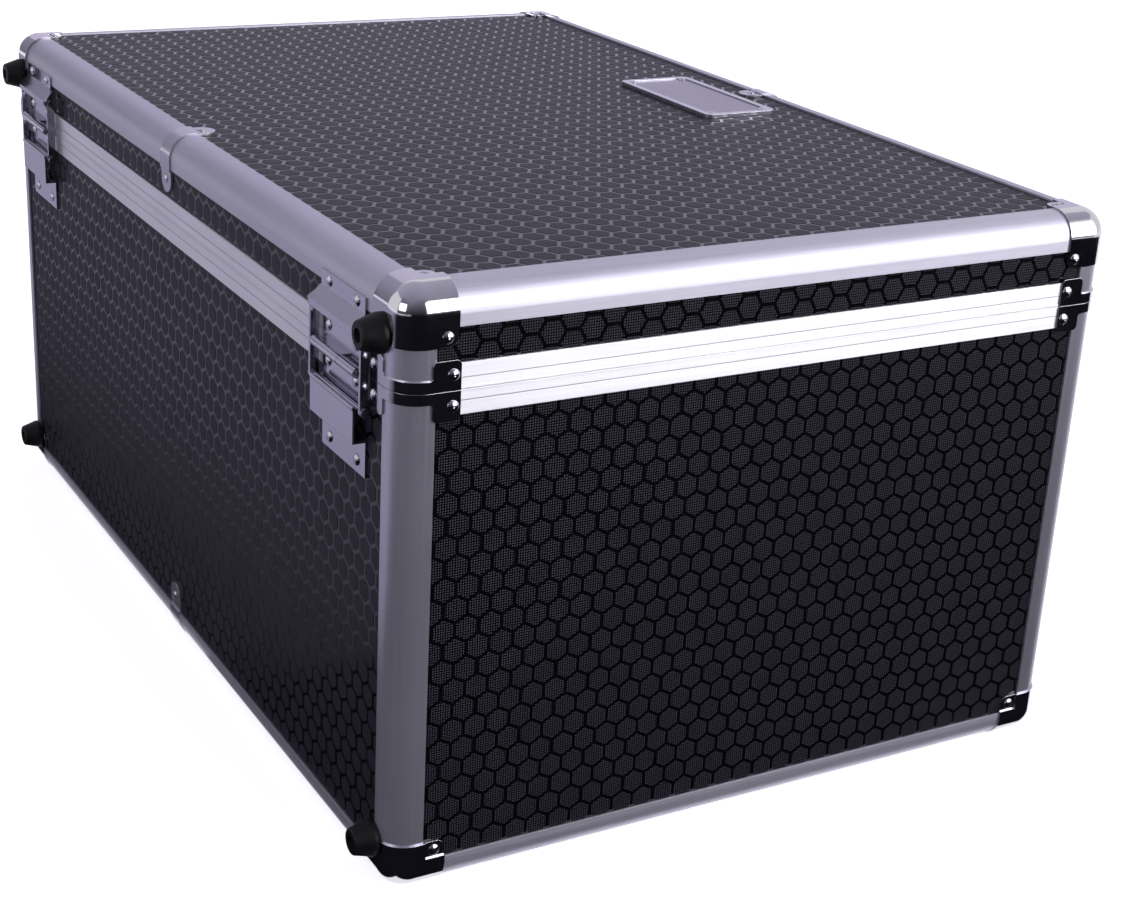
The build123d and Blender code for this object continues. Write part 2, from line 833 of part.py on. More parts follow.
# Wire bail hanging from the lever, a closed loop bent from one wire
with BuildPart() as bail:
    with BuildLine():
        FilletPolyline(
            (0, bail_y, bail_z),
            (bail_half_width, bail_y, bail_z),
            (bail_half_width, bail_y, bail_z - bail_length),
            (0, bail_y, bail_z - bail_length),
            radius=bail_bend,
        )
    with BuildSketch(Plane(origin=(0, bail_y, bail_z), z_dir=(1, 0, 0))):
        Circle(bail_wire_radius)
    sweep()
    mirror(about=Plane.YZ)

for side, sign in (("left", -1), ("right", 1)):
    for part, stem in ((lever.part, "latch_lever"), (bail.part, "latch_bail")):
        with BuildPart() as placed:
            with Locations((sign * latch_centre, 0, 0)):
                add(part)
        keep(placed.part, f"{side}_{stem}")

# Keeper hook on the lid rim above each latch
with BuildPart() as keeper:
    half_keeper = keeper_width / 2
    hook_top = keeper_hook_up + keeper_hook_rise
    section = [
        (0, keeper_low),
        (keeper_thickness, keeper_low),
        (keeper_thickness, keeper_hook_up - keeper_thickness),
        (keeper_hook_out, keeper_hook_up - keeper_thickness),
        (keeper_hook_out, hook_top),
        (keeper_hook_out - keeper_thickness, hook_top),
        (keeper_hook_out - keeper_thickness, keeper_hook_up),
        (keeper_thickness, keeper_hook_up),
        (keeper_thickness, keeper_top),
        (0, keeper_top),
    ]
    across(front_yz(section, lid_z), (-half_keeper, half_keeper))
keep(at_latches(keeper.part), "latch_keepers")

# Carrying handle: brackets, steel bail and grip
grip_y = -half_depth - (end_reach - handle_grip_radius)
handle_out = end_reach - handle_grip_radius
grip_z = handle_pivot_z - handle_drop
lug_run = (handle_lug_start, handle_lug_start + handle_lug_width)
plate_centre_x = handle_lug_start + handle_lug_width / 2
with BuildPart() as handle_brackets:
    for sign in (-1, 1):
        with BuildSketch(front.offset(-panel_recess)) as base_shape:
            with Locations((sign * plate_centre_x, handle_pivot_z)):
                RectangleRounded(handle_plate_width, handle_plate_height, bracket_round)
        extrude(base_shape.sketch, amount=handle_plate_thickness)
        run = sorted((sign * lug_run[0], sign * lug_run[1]))
        rod_across(grip_y, handle_pivot_z, handle_lug_radius, run)
        base = [
            (-panel_recess, handle_lug_radius),
            (handle_out, handle_lug_radius),
            (handle_out, -handle_lug_radius),
            (-panel_recess, -handle_lug_radius),
        ]
        across(front_yz(base, handle_pivot_z), run)
        bore = handle_rod_radius + running_clearance
        rod_across(grip_y, handle_pivot_z, bore, run, Mode.SUBTRACT)
keep(handle_brackets.part, "handle_brackets")

with BuildPart() as handle_bail:
    with BuildLine():
        FilletPolyline(
            (-handle_rod_end, grip_y, handle_pivot_z),
            (-handle_half_width, grip_y, handle_pivot_z),
            (-handle_half_width, grip_y, grip_z),
            (handle_half_width, grip_y, grip_z),
            (handle_half_width, grip_y, handle_pivot_z),
            (handle_rod_end, grip_y, handle_pivot_z),
            radius=[handle_ear_bend, handle_grip_bend, handle_grip_bend, handle_ear_bend],
        )
    with BuildSketch(Plane(origin=(-handle_rod_end, grip_y, handle_pivot_z), z_dir=(1, 0, 0))):
        Circle(handle_rod_radius)
    sweep()
keep(handle_bail.part, "handle_bail")

with BuildPart() as handle_grip:
    half_grip = handle_grip_length / 2
    rod_across(grip_y, grip_z, handle_grip_radius, (-half_grip, half_grip))
    fillet(handle_grip.edges().filter_by(GeomType.CIRCLE), bracket_round)
    rod_across(grip_y, grip_z, handle_rod_radius, (-half_grip, half_grip), Mode.SUBTRACT)
keep(handle_grip.part, "handle_grip")


def dome(radius):
    """Domed rivet head with a short wall, standing on its seat."""
    with BuildPart() as head:
        with BuildSketch(Plane.XZ):
            with BuildLine():
                rise = rivet_rise * radius / rivet_radius
                curve = (radius**2 + (rise - rivet_wall) ** 2) / (2 * (rise - rivet_wall))
                Polyline((0, rise), (0, 0), (radius, 0), (radius, rivet_wall))
                RadiusArc((radius, rivet_wall), (0, rise), -curve)
            make_face()
        revolve(axis=Axis.Z)
    return head.part


rivet = dome(rivet_radius)
small_rivet = dome(small_rivet_radius)
with BuildPart() as screw:
    Cylinder(screw_radius, screw_height, align=(Align.CENTER, Align.CENTER, Align.MIN))


def both_ways(u, v):
    """The same level on both sides of a face's middle."""
    return [(-u, v), (u, v)]


def rivet_group(name, rivet_spots, small_spots, screw_points):
    """All the fasteners of one half of the case, as separate heads."""
    with BuildPart() as group:
        with Locations(*rivet_spots):
            add(rivet)
        with Locations(*small_spots):
            add(small_rivet)
        with Locations(*spots(back, end_reach - foot_recess_depth, screw_points)):
            add(screw.part)
    keep(group.part, name)


def side_spots(level, up, ear_in, ear_up):
    """Ear rivets on the left, right and front faces, and bracket rivets on all four."""
    ears = both_ways(half_depth - ear_in, level + up * ear_up)
    found = spots(left, 0, ears) + spots(right, 0, ears)
    found += spots(front, 0, both_ways(half_length - ear_in, level + up * ear_up))
    return found


def bracket_spots(level):
    """Rivets in the ears of the corner brackets."""
    found = []
    for face, half in ((left, half_depth), (right, half_depth), (front, half_length), (back, half_length)):
        found += spots(face, cap_proud, both_ways(half - bracket_rivet_in, level))
    return found


def hinge_spots(lift, up):
    """Two rivets at each hinge."""
    points = [
        (sign * hinge_centre + offset, axis_z + up)
        for sign in (-1, 1)
        for offset in (-hinge_rivet_spacing / 2, hinge_rivet_spacing / 2)
    ]
    return spots(back, lift, points)


def latch_spots(lift, level, half_spacing):
    """Two rivets at each latch."""
    points = [
        (sign * latch_centre + offset, level)
        for sign in (-1, 1)
        for offset in (-half_spacing, half_spacing)
    ]
    return spots(front, lift, points)


flat_ear_in = (top_flange + ball_ear) / 2
side_ear_in = (post_flange + ball_reach) / 2
side_ear_down = (side_flange + ball_reach) / 2
plate_u = plate_length / 2 - plate_rivet_inset
plate_v = plate_width / 2 - plate_rivet_inset
flat_ears = [(sx * (half_length - flat_ear_in), sy * (half_depth - flat_ear_in)) for sx, sy in corner_signs]
plate_points = [(sx * plate_u, plate_centre_y + sy * plate_v) for sx, sy in corner_signs]
top_strap_points = [(0, half_depth - strap_flat_end), (0, strap_flat_end - half_depth)]
keeper_level = lid_z + (hook_top + keeper_top) / 2
rivet_group(
    "lid_rivets",
    side_spots(top_z, -1, side_ear_in, side_ear_down)
    + bracket_spots(lid_z + bracket_rivet_up)
    + hinge_spots(hinge_sheet, lid_leaf_rivet)
    + hinge_spots(hinge_sheet, hood_rivet_up),
    spots(top, 0, flat_ears)
    + spots(top, 0, top_strap_points)
    + spots(top, plate_thickness - panel_recess - plate_field_depth, plate_points)
    + spots(front, 0, [(0, top_z - strap_side_end)])
    + spots(back, 0, [(0, top_z - strap_side_end)])
    + latch_spots(keeper_thickness, keeper_level, keeper_width / 3),
    lid_foot_points,
)

cap_ear_in = (post_flange + foot_cap_reach) / 2
cap_ear_up = (bottom_flange + foot_cap_height) / 2
handle_rivets = [
    (sx * plate_centre_x, handle_pivot_z + sy * (handle_plate_height / 2 - 2 * rivet_radius))
    for sx, sy in corner_signs
]
rivet_group(
    "base_rivets",
    side_spots(bottom_z, 1, cap_ear_in, cap_ear_up)
    + bracket_spots(parting_z - bracket_rivet_up)
    + hinge_spots(hinge_sheet, -base_leaf_rivet)
    + hinge_spots(0, -guide_rivet_down)
    + spots(front, handle_plate_thickness - panel_recess, handle_rivets),
    spots(front, 0, [(0, bottom_z + strap_side_end)])
    + spots(back, 0, [(0, bottom_z + strap_side_end)])
    + latch_spots(latch_plate_thickness, parting_z - latch_pivot_down / 3, lever_width / 3)
    + latch_spots(latch_plate_thickness, parting_z - latch_plate_end + 2 * rivet_radius, lever_width / 3),
    base_foot_points,
)
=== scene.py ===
import json
import math

import bmesh
import bpy
from mathutils import Matrix, Vector, noise

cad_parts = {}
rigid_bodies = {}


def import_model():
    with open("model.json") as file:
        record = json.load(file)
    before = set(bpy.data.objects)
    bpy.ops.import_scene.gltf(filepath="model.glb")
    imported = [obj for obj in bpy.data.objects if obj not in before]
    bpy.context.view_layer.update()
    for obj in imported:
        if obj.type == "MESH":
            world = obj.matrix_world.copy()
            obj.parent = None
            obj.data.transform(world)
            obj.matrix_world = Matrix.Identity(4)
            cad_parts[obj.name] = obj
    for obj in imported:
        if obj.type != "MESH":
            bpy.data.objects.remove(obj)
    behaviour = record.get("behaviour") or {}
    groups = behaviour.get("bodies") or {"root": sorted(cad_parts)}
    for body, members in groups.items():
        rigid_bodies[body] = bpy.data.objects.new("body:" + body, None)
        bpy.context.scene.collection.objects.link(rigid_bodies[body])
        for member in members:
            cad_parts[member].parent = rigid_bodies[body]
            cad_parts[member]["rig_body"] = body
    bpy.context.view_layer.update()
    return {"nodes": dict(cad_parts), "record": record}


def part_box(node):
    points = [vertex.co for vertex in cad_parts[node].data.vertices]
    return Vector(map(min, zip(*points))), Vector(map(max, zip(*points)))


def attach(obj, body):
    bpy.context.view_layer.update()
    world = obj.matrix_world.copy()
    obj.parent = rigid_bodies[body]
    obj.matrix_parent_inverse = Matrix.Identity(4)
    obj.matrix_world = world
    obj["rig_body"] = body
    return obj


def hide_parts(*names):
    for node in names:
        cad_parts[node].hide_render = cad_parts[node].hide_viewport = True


# Flight case in a plain white studio. Metres, +Z up, the hinges at +Y, the handle at -Y.
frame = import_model()
cad = frame["nodes"]
slot_of = {part["node"]: part["material_slot"] for part in frame["record"]["subparts"]}
body_of = {name: piece["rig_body"] for name, piece in cad.items()}

mm = 0.001

# Honeycomb laminate: raised cells with glossy grooves between them
cell_pitch = 16.0 * mm
groove_width = 2.3 * mm
groove_depth = 0.2 * mm
cell_bevel = 0.25 * mm
dot_pitch = 1.7 * mm
row_pitch = cell_pitch * math.sqrt(3) / 2
sliver = 0.005 * mm

# Worn rounding of the metal edges
edge_round = 0.45 * mm

# Each face of the case: the two directions along it and the one out of it
faces = {
    "front": ((1, 0, 0), (0, 0, 1), (0, -1, 0)),
    "back": ((-1, 0, 0), (0, 0, 1), (0, 1, 0)),
    "left": ((0, -1, 0), (0, 0, 1), (-1, 0, 0)),
    "right": ((0, 1, 0), (0, 0, 1), (1, 0, 0)),
    "top": ((1, 0, 0), (0, 1, 0), (0, 0, 1)),
    "bottom": ((0, 1, 0), (1, 0, 0), (0, 0, -1)),
}


# Materials

def place(tree, kind, inputs, **settings):
    """A shader node with its settings and its inputs, each a value or another node's output."""
    node = tree.nodes.new("ShaderNode" + kind)
    for name, value in settings.items():
        setattr(node, name, value)
    for name, value in inputs.items():
        if isinstance(value, bpy.types.NodeSocket):
            tree.links.new(value, node.inputs[name])
        else:
            node.inputs[name].default_value = value
    return node


def principled(name, **values):
    """A new material: its node tree and its shader, with the given plain values."""
    material = bpy.data.materials.new(name)
    material.use_nodes = True
    shader = material.node_tree.nodes["Principled BSDF"]
    for socket, value in values.items():
        shader.inputs[socket.replace("_", " ")].default_value = value
    return material, material.node_tree, shader


def ramp(tree, value, *stops):
    """Colour along a factor from stops of a position and a colour."""
    node = place(tree, "ValToRGB", {"Fac": value})
    elements = node.color_ramp.elements
    while len(elements) < len(stops):
        elements.new(1.0)
    for element, (stop, colour) in zip(elements, stops):
        element.position = stop
        element.color = (*colour, 1.0)
    return node.outputs["Color"]


def between(tree, value, low, high, start=0.0, end=1.0):
    """A factor stretched to run from one level to another."""
    inputs = {
        "Value": value,
        "From Min": start,
        "From Max": end,
        "To Min": low,
        "To Max": high,
    }
    return place(tree, "MapRange", inputs).outputs["Result"]


def position(tree, scale=(1, 1, 1)):
    """Place on the object, stretched along its axes."""
    spot = place(tree, "TexCoord", {}).outputs["Object"]
    return place(tree, "Mapping", {"Vector": spot, "Scale": scale}).outputs["Vector"]


def cloud(tree, vector, scale, detail=3.0, roughness=0.5):
    """Soft noise at a scale, in cycles to the metre of its vector."""
    inputs = {"Vector": vector, "Scale": scale, "Detail": detail, "Roughness": roughness}
    return place(tree, "TexNoise", inputs).outputs[0]


def soft_edges(tree, radius):
    """Normals that round off hard edges by a radius, so that they catch the light."""
    return place(tree, "Bevel", {"Radius": radius}, samples=4).outputs["Normal"]


def relief(tree, shader, height, distance, strength=1.0, under=None):
    """Bump from a height, over another bump if there is one."""
    inputs = {"Height": height, "Distance": distance, "Strength": strength}
    if under is not None:
        inputs["Normal"] = under
    bump = place(tree, "Bump", inputs).outputs["Normal"]
    tree.links.new(bump, shader.inputs["Normal"])
    return bump


def scaled(colour, factor):
    """A colour made lighter or darker, with no channel over one."""
    return tuple(min(1.0, channel * factor) for channel in colour)


def mix(tree, factor, first, second, blend="MIX"):
    """Two colours mixed, each a plain colour or another node's output."""
    node = place(tree, "Mix", {"Factor": factor}, data_type="RGBA", blend_type=blend)
    for slot, colour in ((6, first), (7, second)):
        if isinstance(colour, bpy.types.NodeSocket):
            tree.links.new(colour, node.inputs[slot])
        else:
            node.inputs[slot].default_value = (*colour, 1.0)
    return node.outputs[2]


def darkened(tree, tone, shade):
    """A tone multiplied by a shade."""
    return mix(tree, 1.0, tone, shade, blend="MULTIPLY")


def height_above_floor(tree):
    """The Z of a place on the object."""
    spot = place(tree, "TexCoord", {}).outputs["Object"]
    return place(tree, "SeparateXYZ", {"Vector": spot}).outputs["Z"]


def brushed_metal(name, colour, roughness, stretch, streak=0.06, grain_depth=0.01):
    """Satin metal with fine streaks along the axis whose stretch is small, and faint clouding.

    Light spreads across the streaks, as it does on drawn metal.
    """
    material, tree, shader = principled(
        name, Metallic=0.88, Anisotropic=0.6, Anisotropic_Rotation=0.25
    )
    if stretch[0] == stretch[1]:
        tangent = place(tree, "Tangent", {}, direction_type="RADIAL", axis="Z").outputs[0]
        if stretch[2] < stretch[0]:
            shader.inputs["Anisotropic Rotation"].default_value = 0.0
    else:
        along = [1.0 if size == min(stretch) else 0.0 for size in stretch]
        tangent = place(
            tree,
            "VectorTransform",
            {"Vector": along},
            vector_type="VECTOR",
            convert_from="OBJECT",
            convert_to="WORLD",
        ).outputs[0]
    tree.links.new(tangent, shader.inputs["Tangent"])
    streaks = cloud(tree, position(tree, stretch), 1.0, detail=4.0, roughness=0.65)
    clouds = cloud(tree, position(tree), 14.0)
    tone = ramp(
        tree,
        streaks,
        (0.25, scaled(colour, 1 - streak)),
        (0.75, scaled(colour, 1 + streak)),
    )
    dull = ramp(tree, clouds, (0.3, (0.94, 0.94, 0.95)), (0.7, (1, 1, 1)))
    tree.links.new(darkened(tree, tone, dull), shader.inputs["Base Color"])
    level = between(tree, streaks, roughness - 0.06, roughness + 0.06, 0.25, 0.75)
    tree.links.new(level, shader.inputs["Roughness"])
    relief(tree, shader, streaks, grain_depth * mm, under=soft_edges(tree, edge_round))
    return material


def polished_metal(name, colour, low, high, wave=0.02):
    """Plated metal: a mirror with faint smudges, on sheet that is a little uneven."""
    material, tree, shader = principled(name, Metallic=1.0)
    smudges = cloud(tree, position(tree), 38.0, detail=5.0, roughness=0.6)
    tone = ramp(tree, smudges, (0.3, scaled(colour, 0.95)), (0.7, colour))
    tree.links.new(tone, shader.inputs["Base Color"])
    tree.links.new(between(tree, smudges, low, high, 0.3, 0.75), shader.inputs["Roughness"])
    uneven = cloud(tree, position(tree), 70.0, detail=1.0)
    relief(tree, shader, uneven, wave * mm, under=soft_edges(tree, edge_round))
    return material


def rim_metal(name, colour, grooves):
    """Brushed rim with fine drawn grooves at given heights, sunk by a bump and painted darker as
    shade in the grooves.
    """
    material = brushed_metal(name, colour, 0.4, (6, 6, 1400), streak=0.07)
    tree = material.node_tree
    shader = tree.nodes["Principled BSDF"]
    shader.inputs["Anisotropic"].default_value = 0.85
    height = height_above_floor(tree)
    line = None
    for groove in grooves:
        away = place(tree, "Math", {0: height, 1: groove}, operation="SUBTRACT").outputs[0]
        away = place(tree, "Math", {0: away}, operation="ABSOLUTE").outputs[0]
        near = between(tree, away, 1.0, 0.0, 0.15 * mm, 0.4 * mm)
        if line is None:
            line = near
        else:
            line = place(tree, "Math", {0: line, 1: near}, operation="MAXIMUM").outputs[0]
    tone = shader.inputs["Base Color"].links[0].from_socket
    # Painted shade: the grooves' colour is darkened to stand for the shade in them, on top of the
    # bump that sinks them
    groove_painted_shade = mix(tree, line, tone, scaled(colour, 0.45))
    tree.links.new(groove_painted_shade, shader.inputs["Base Color"])
    streaks = shader.inputs["Normal"].links[0].from_socket
    dip = place(tree, "Math", {0: 1.0, 1: line}, operation="SUBTRACT").outputs[0]
    relief(tree, shader, dip, 0.25 * mm, under=streaks)
    return material


def laminate_groove():
    """Glossy near-black film in the grooves between the cells."""
    material, tree, shader = principled("laminate_groove", IOR=1.5)
    peel = cloud(tree, position(tree), 240.0, detail=2.0)
    tone = ramp(tree, peel, (0.3, (0.0008, 0.0007, 0.0012)), (0.7, (0.0016, 0.0014, 0.0024)))
    tree.links.new(tone, shader.inputs["Base Color"])
    tree.links.new(between(tree, peel, 0.12, 0.2), shader.inputs["Roughness"])
    relief(tree, shader, peel, 0.02 * mm)
    return material


def laminate_cell():
    """Matt cells woven with small lighter dots; the dots' colour is their own lighter weave with
    painted glints added.
    """
    material, tree, shader = principled(
        "laminate_cell",
        IOR=1.17,
        Sheen_Weight=0.02,
        Sheen_Roughness=0.35,
        Sheen_Tint=(0.72, 0.68, 1.0, 1.0),
    )
    along = place(tree, "UVMap", {}, uv_map="weave").outputs["UV"]
    weave = place(
        tree,
        "TexVoronoi",
        {"Vector": along, "Scale": 1 / dot_pitch, "Randomness": 0.12},
        voronoi_dimensions="2D",
    ).outputs["Distance"]
    patch = cloud(tree, position(tree), 55.0)
    # The dots' light colour is partly the weave's own tone and partly painted glints of the light
    # on the woven relief
    tone = ramp(
        tree,
        weave,
        (0.17, (0.056, 0.052, 0.076)),
        (0.31, (0.0012, 0.0011, 0.0020)),
        (0.46, (0.0003, 0.0003, 0.0005)),
    )
    shade = ramp(tree, patch, (0.3, (0.82, 0.82, 0.84)), (0.7, (1, 1, 1)))
    tree.links.new(darkened(tree, tone, shade), shader.inputs["Base Color"])
    tree.links.new(between(tree, weave, 0.34, 0.46, 0.1, 0.5), shader.inputs["Roughness"])
    bead = between(tree, weave, 1.0, 0.0, 0.05, 0.5)
    relief(tree, shader, bead, 0.12 * mm)
    return material


def rubber(name, colour, roughness):
    """Black moulded rubber, faintly mottled, with a fine grain."""
    material, tree, shader = principled(name, IOR=1.3)
    mottle = cloud(tree, position(tree), 160.0, detail=4.0)
    tone = ramp(tree, mottle, (0.3, scaled(colour, 0.8)), (0.7, scaled(colour, 1.35)))
    tree.links.new(tone, shader.inputs["Base Color"])
    level = between(tree, mottle, roughness - 0.08, roughness + 0.08, 0.3, 0.7)
    tree.links.new(level, shader.inputs["Roughness"])
    grain = cloud(tree, position(tree), 2200.0, detail=2.0)
    relief(tree, shader, grain, 0.03 * mm)
    return material


def plate_metal(field_level):
    """Nameplate: a polished border round a darker, brushed and sunk field."""
    material = brushed_metal("plate_aluminium", (0.55, 0.54, 0.61), 0.24, (5, 1100, 5))
    tree = material.node_tree
    shader = tree.nodes["Principled BSDF"]
    height = height_above_floor(tree)
    border = between(tree, height, 0.0, 1.0, field_level + 0.1 * mm, field_level + 0.5 * mm)
    tone = shader.inputs["Base Color"].links[0].from_socket
    field = darkened(tree, tone, (0.44, 0.43, 0.47))
    tree.links.new(mix(tree, border, field, tone), shader.inputs["Base Color"])
    return material


def felt():
    """Charcoal needle felt: matt, with short fibres and slightly uneven tone."""
    material, tree, shader = principled("lining_felt", Sheen_Weight=0.35, Sheen_Roughness=0.5)
    fibres = cloud(tree, position(tree), 900.0, detail=6.0, roughness=0.7)
    patches = cloud(tree, position(tree), 22.0, detail=3.0)
    tone = ramp(tree, fibres, (0.3, (0.020, 0.020, 0.023)), (0.7, (0.060, 0.060, 0.066)))
    shade = ramp(tree, patches, (0.3, (0.8, 0.8, 0.8)), (0.7, (1, 1, 1)))
    tree.links.new(darkened(tree, tone, shade), shader.inputs["Base Color"])
    shader.inputs["Roughness"].default_value = 0.95
    relief(tree, shader, fibres, 0.35 * mm)
    return material


aluminium = (0.45, 0.435, 0.52)
steel = (0.45, 0.44, 0.52)
chrome = (0.56, 0.55, 0.60)
rim_colour = (0.70, 0.69, 0.75)
rim_lines = (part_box("base_rims")[0].z + 8.6 * mm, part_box("lid_rims")[1].z - 9.2 * mm)
plate_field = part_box("nameplate")[1].z - 0.8 * mm
along_x = brushed_metal("edge_aluminium_x", aluminium, 0.44, (5, 900, 900))
along_y = brushed_metal("edge_aluminium_y", aluminium, 0.44, (900, 5, 900))
# The posts are the same aluminium as the other extrusions, painted a quarter lighter: painted light
# standing for the light that falls on them
posts_aluminium_painted_lighter = brushed_metal("edge_aluminium_z_painted_lighter", scaled(aluminium, 1.25), 0.36, (900, 900, 5))
finishes = {
    "rim_aluminium": rim_metal("rim_aluminium", rim_colour, rim_lines),
    "chrome_corners": polished_metal("chrome_corners", chrome, 0.06, 0.15),
    "strap_steel": brushed_metal("strap_steel", steel, 0.24, (700, 20, 20), streak=0.04),
    "hinge_steel": polished_metal("hinge_steel", (0.60, 0.59, 0.67), 0.10, 0.22),
    "rivet_steel": polished_metal("rivet_steel", (0.50, 0.49, 0.56), 0.10, 0.18, wave=0.005),
    "plate_aluminium": plate_metal(plate_field),
    "foot_rubber": rubber("foot_rubber", (0.0022, 0.0020, 0.0027), 0.5),
    "grip_rubber": rubber("grip_rubber", (0.006, 0.006, 0.007), 0.6),
    "lining_fabric": felt(),
    "honeycomb_laminate": laminate_groove(),
}
cell_finish = laminate_cell()


def finish_of(name):
    """The finish of a CAD node. Extrusions are brushed along their own length; the posts take a
    copy painted lighter, as painted light.
    """
    slot = slot_of[name]
    if slot != "edge_aluminium":
        return finishes[slot]
    if name.endswith("posts"):
        return posts_aluminium_painted_lighter
    return along_x if name.endswith(("front", "back")) else along_y


for name, piece in cad.items():
    piece.data.materials.clear()
    piece.data.materials.append(finish_of(name))


def new_piece(name, bm, node, *materials, smooth=False):
    """A finished mesh that stands for a CAD node, which it hides; it rides with the node's body and
    wears the given materials.
    """
    mesh = bpy.data.meshes.new(name)
    bm.to_mesh(mesh)
    bm.free()
    piece = bpy.data.objects.new(name, mesh)
    bpy.context.scene.collection.objects.link(piece)
    for material in materials:
        mesh.materials.append(material)
    for polygon in mesh.polygons:
        polygon.use_smooth = smooth
    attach(piece, body_of[node])
    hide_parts(node)
    return piece


def face_outwards(bm):
    """Turn the faces of a closed mesh outwards."""
    bmesh.ops.recalc_face_normals(bm, faces=bm.faces[:])
    if bm.calc_volume(signed=True) < 0:
        bmesh.ops.reverse_faces(bm, faces=bm.faces[:])


# Honeycomb panels

def honeycomb_panel(node, side, upright=True, row_start=0.0):
    """Panel whose outer face is a honeycomb of raised cells, cut off at the panel's edges.

    Upright cells have their flats across the face's first direction, the others across its second.
    """
    u_axis, v_axis, out = (Vector(axis) for axis in faces[side])
    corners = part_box(node)
    u_limits = sorted(corner.dot(u_axis) for corner in corners)
    v_limits = sorted(corner.dot(v_axis) for corner in corners)
    depths = sorted(corner.dot(out) for corner in corners)
    a_limits, b_limits = (u_limits, v_limits) if upright else (v_limits, u_limits)
    grow = 2 / math.sqrt(3)
    radius = cell_pitch / 2 * grow
    rings = (
        (radius, depths[1] - groove_depth),
        (radius - groove_width / 2 * grow, depths[1] - groove_depth),
        (radius - (groove_width / 2 + cell_bevel) * grow, depths[1]),
    )
    first, last = (int((limit - row_start) // cell_pitch) for limit in a_limits)
    columns = range(first - 1, last + 2)
    angles = [math.radians(30 + 60 * step) for step in range(6)]
    bm = bmesh.new()
    shared = {}

    def cell_vertex(a, b, depth, share):
        key = (round(a / mm, 2), round(b / mm, 2))
        if share and key in shared:
            return shared[key]
        vertex = bm.verts.new((a, b, depth) if upright else (b, a, depth))
        if share:
            shared[key] = vertex
        return vertex

    for row in range(int(b_limits[0] // row_pitch) - 1, int(b_limits[1] // row_pitch) + 2):
        b = row * row_pitch
        for column in columns:
            a = row_start + (column + (row % 2) / 2) * cell_pitch
            loops = []
            for index, (reach, depth) in enumerate(rings):
                spots = [(a + reach * math.cos(t), b + reach * math.sin(t)) for t in angles]
                loops.append([cell_vertex(*spot, depth, index == 0) for spot in spots])
            for index, (outer, inner) in enumerate(zip(loops, loops[1:])):
                for step in range(6):
                    after = (step + 1) % 6
                    quad = (outer[step], outer[after], inner[after], inner[step])
                    bm.faces.new(quad).material_index = index
            bm.faces.new(loops[-1]).material_index = 1
    for axis, limits in (((1, 0, 0), u_limits), ((0, 1, 0), v_limits)):
        for limit, sign in zip(limits, (-1, 1)):
            bmesh.ops.bisect_plane(
                bm,
                geom=bm.verts[:] + bm.edges[:] + bm.faces[:],
                plane_co=Vector(axis) * limit,
                plane_no=Vector(axis) * sign,
                dist=2 * sliver,
                clear_outer=True,
            )
    bmesh.ops.dissolve_degenerate(bm, dist=sliver, edges=bm.edges[:])
    spare = [vertex for vertex in bm.verts if not vertex.link_faces]
    bmesh.ops.delete(bm, geom=spare, context="VERTS")
    rim = [edge for edge in bm.edges if edge.is_boundary]
    walls = bmesh.ops.extrude_edge_only(bm, edges=rim)["geom"]
    for vertex in walls:
        if isinstance(vertex, bmesh.types.BMVert):
            vertex.co.z = depths[0]
    base = [edge for edge in walls if isinstance(edge, bmesh.types.BMEdge) and edge.is_boundary]
    bmesh.ops.holes_fill(bm, edges=base, sides=0)
    weave = bm.loops.layers.uv.new("weave")
    for face in bm.faces:
        for loop in face.loops:
            loop[weave].uv = loop.vert.co.xy
    bm.transform(Matrix((u_axis, v_axis, out)).transposed().to_4x4())
    face_outwards(bm)
    return new_piece(f"{node}_laminate", bm, node, finishes["honeycomb_laminate"], cell_finish)


# The narrow panels at the ends of the lid have cells centred on their height
lid_band = sum(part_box("lid_panel_left")[end].z for end in (0, 1)) / 2
honeycomb_panel("lid_panel", "top")
honeycomb_panel("bottom_panel", "bottom", upright=False)
for side in ("front", "back"):
    honeycomb_panel(f"base_panel_{side}", side)
    honeycomb_panel(f"lid_panel_{side}", side)
for side in ("left", "right"):
    honeycomb_panel(f"base_panel_{side}", side)
    honeycomb_panel(f"lid_panel_{side}", side, upright=False, row_start=lid_band)


# Linings

lining_skin = 3.0 * mm
lining_fold = 9.0 * mm
lining_step = 24.0 * mm
lining_puff = 0.9 * mm


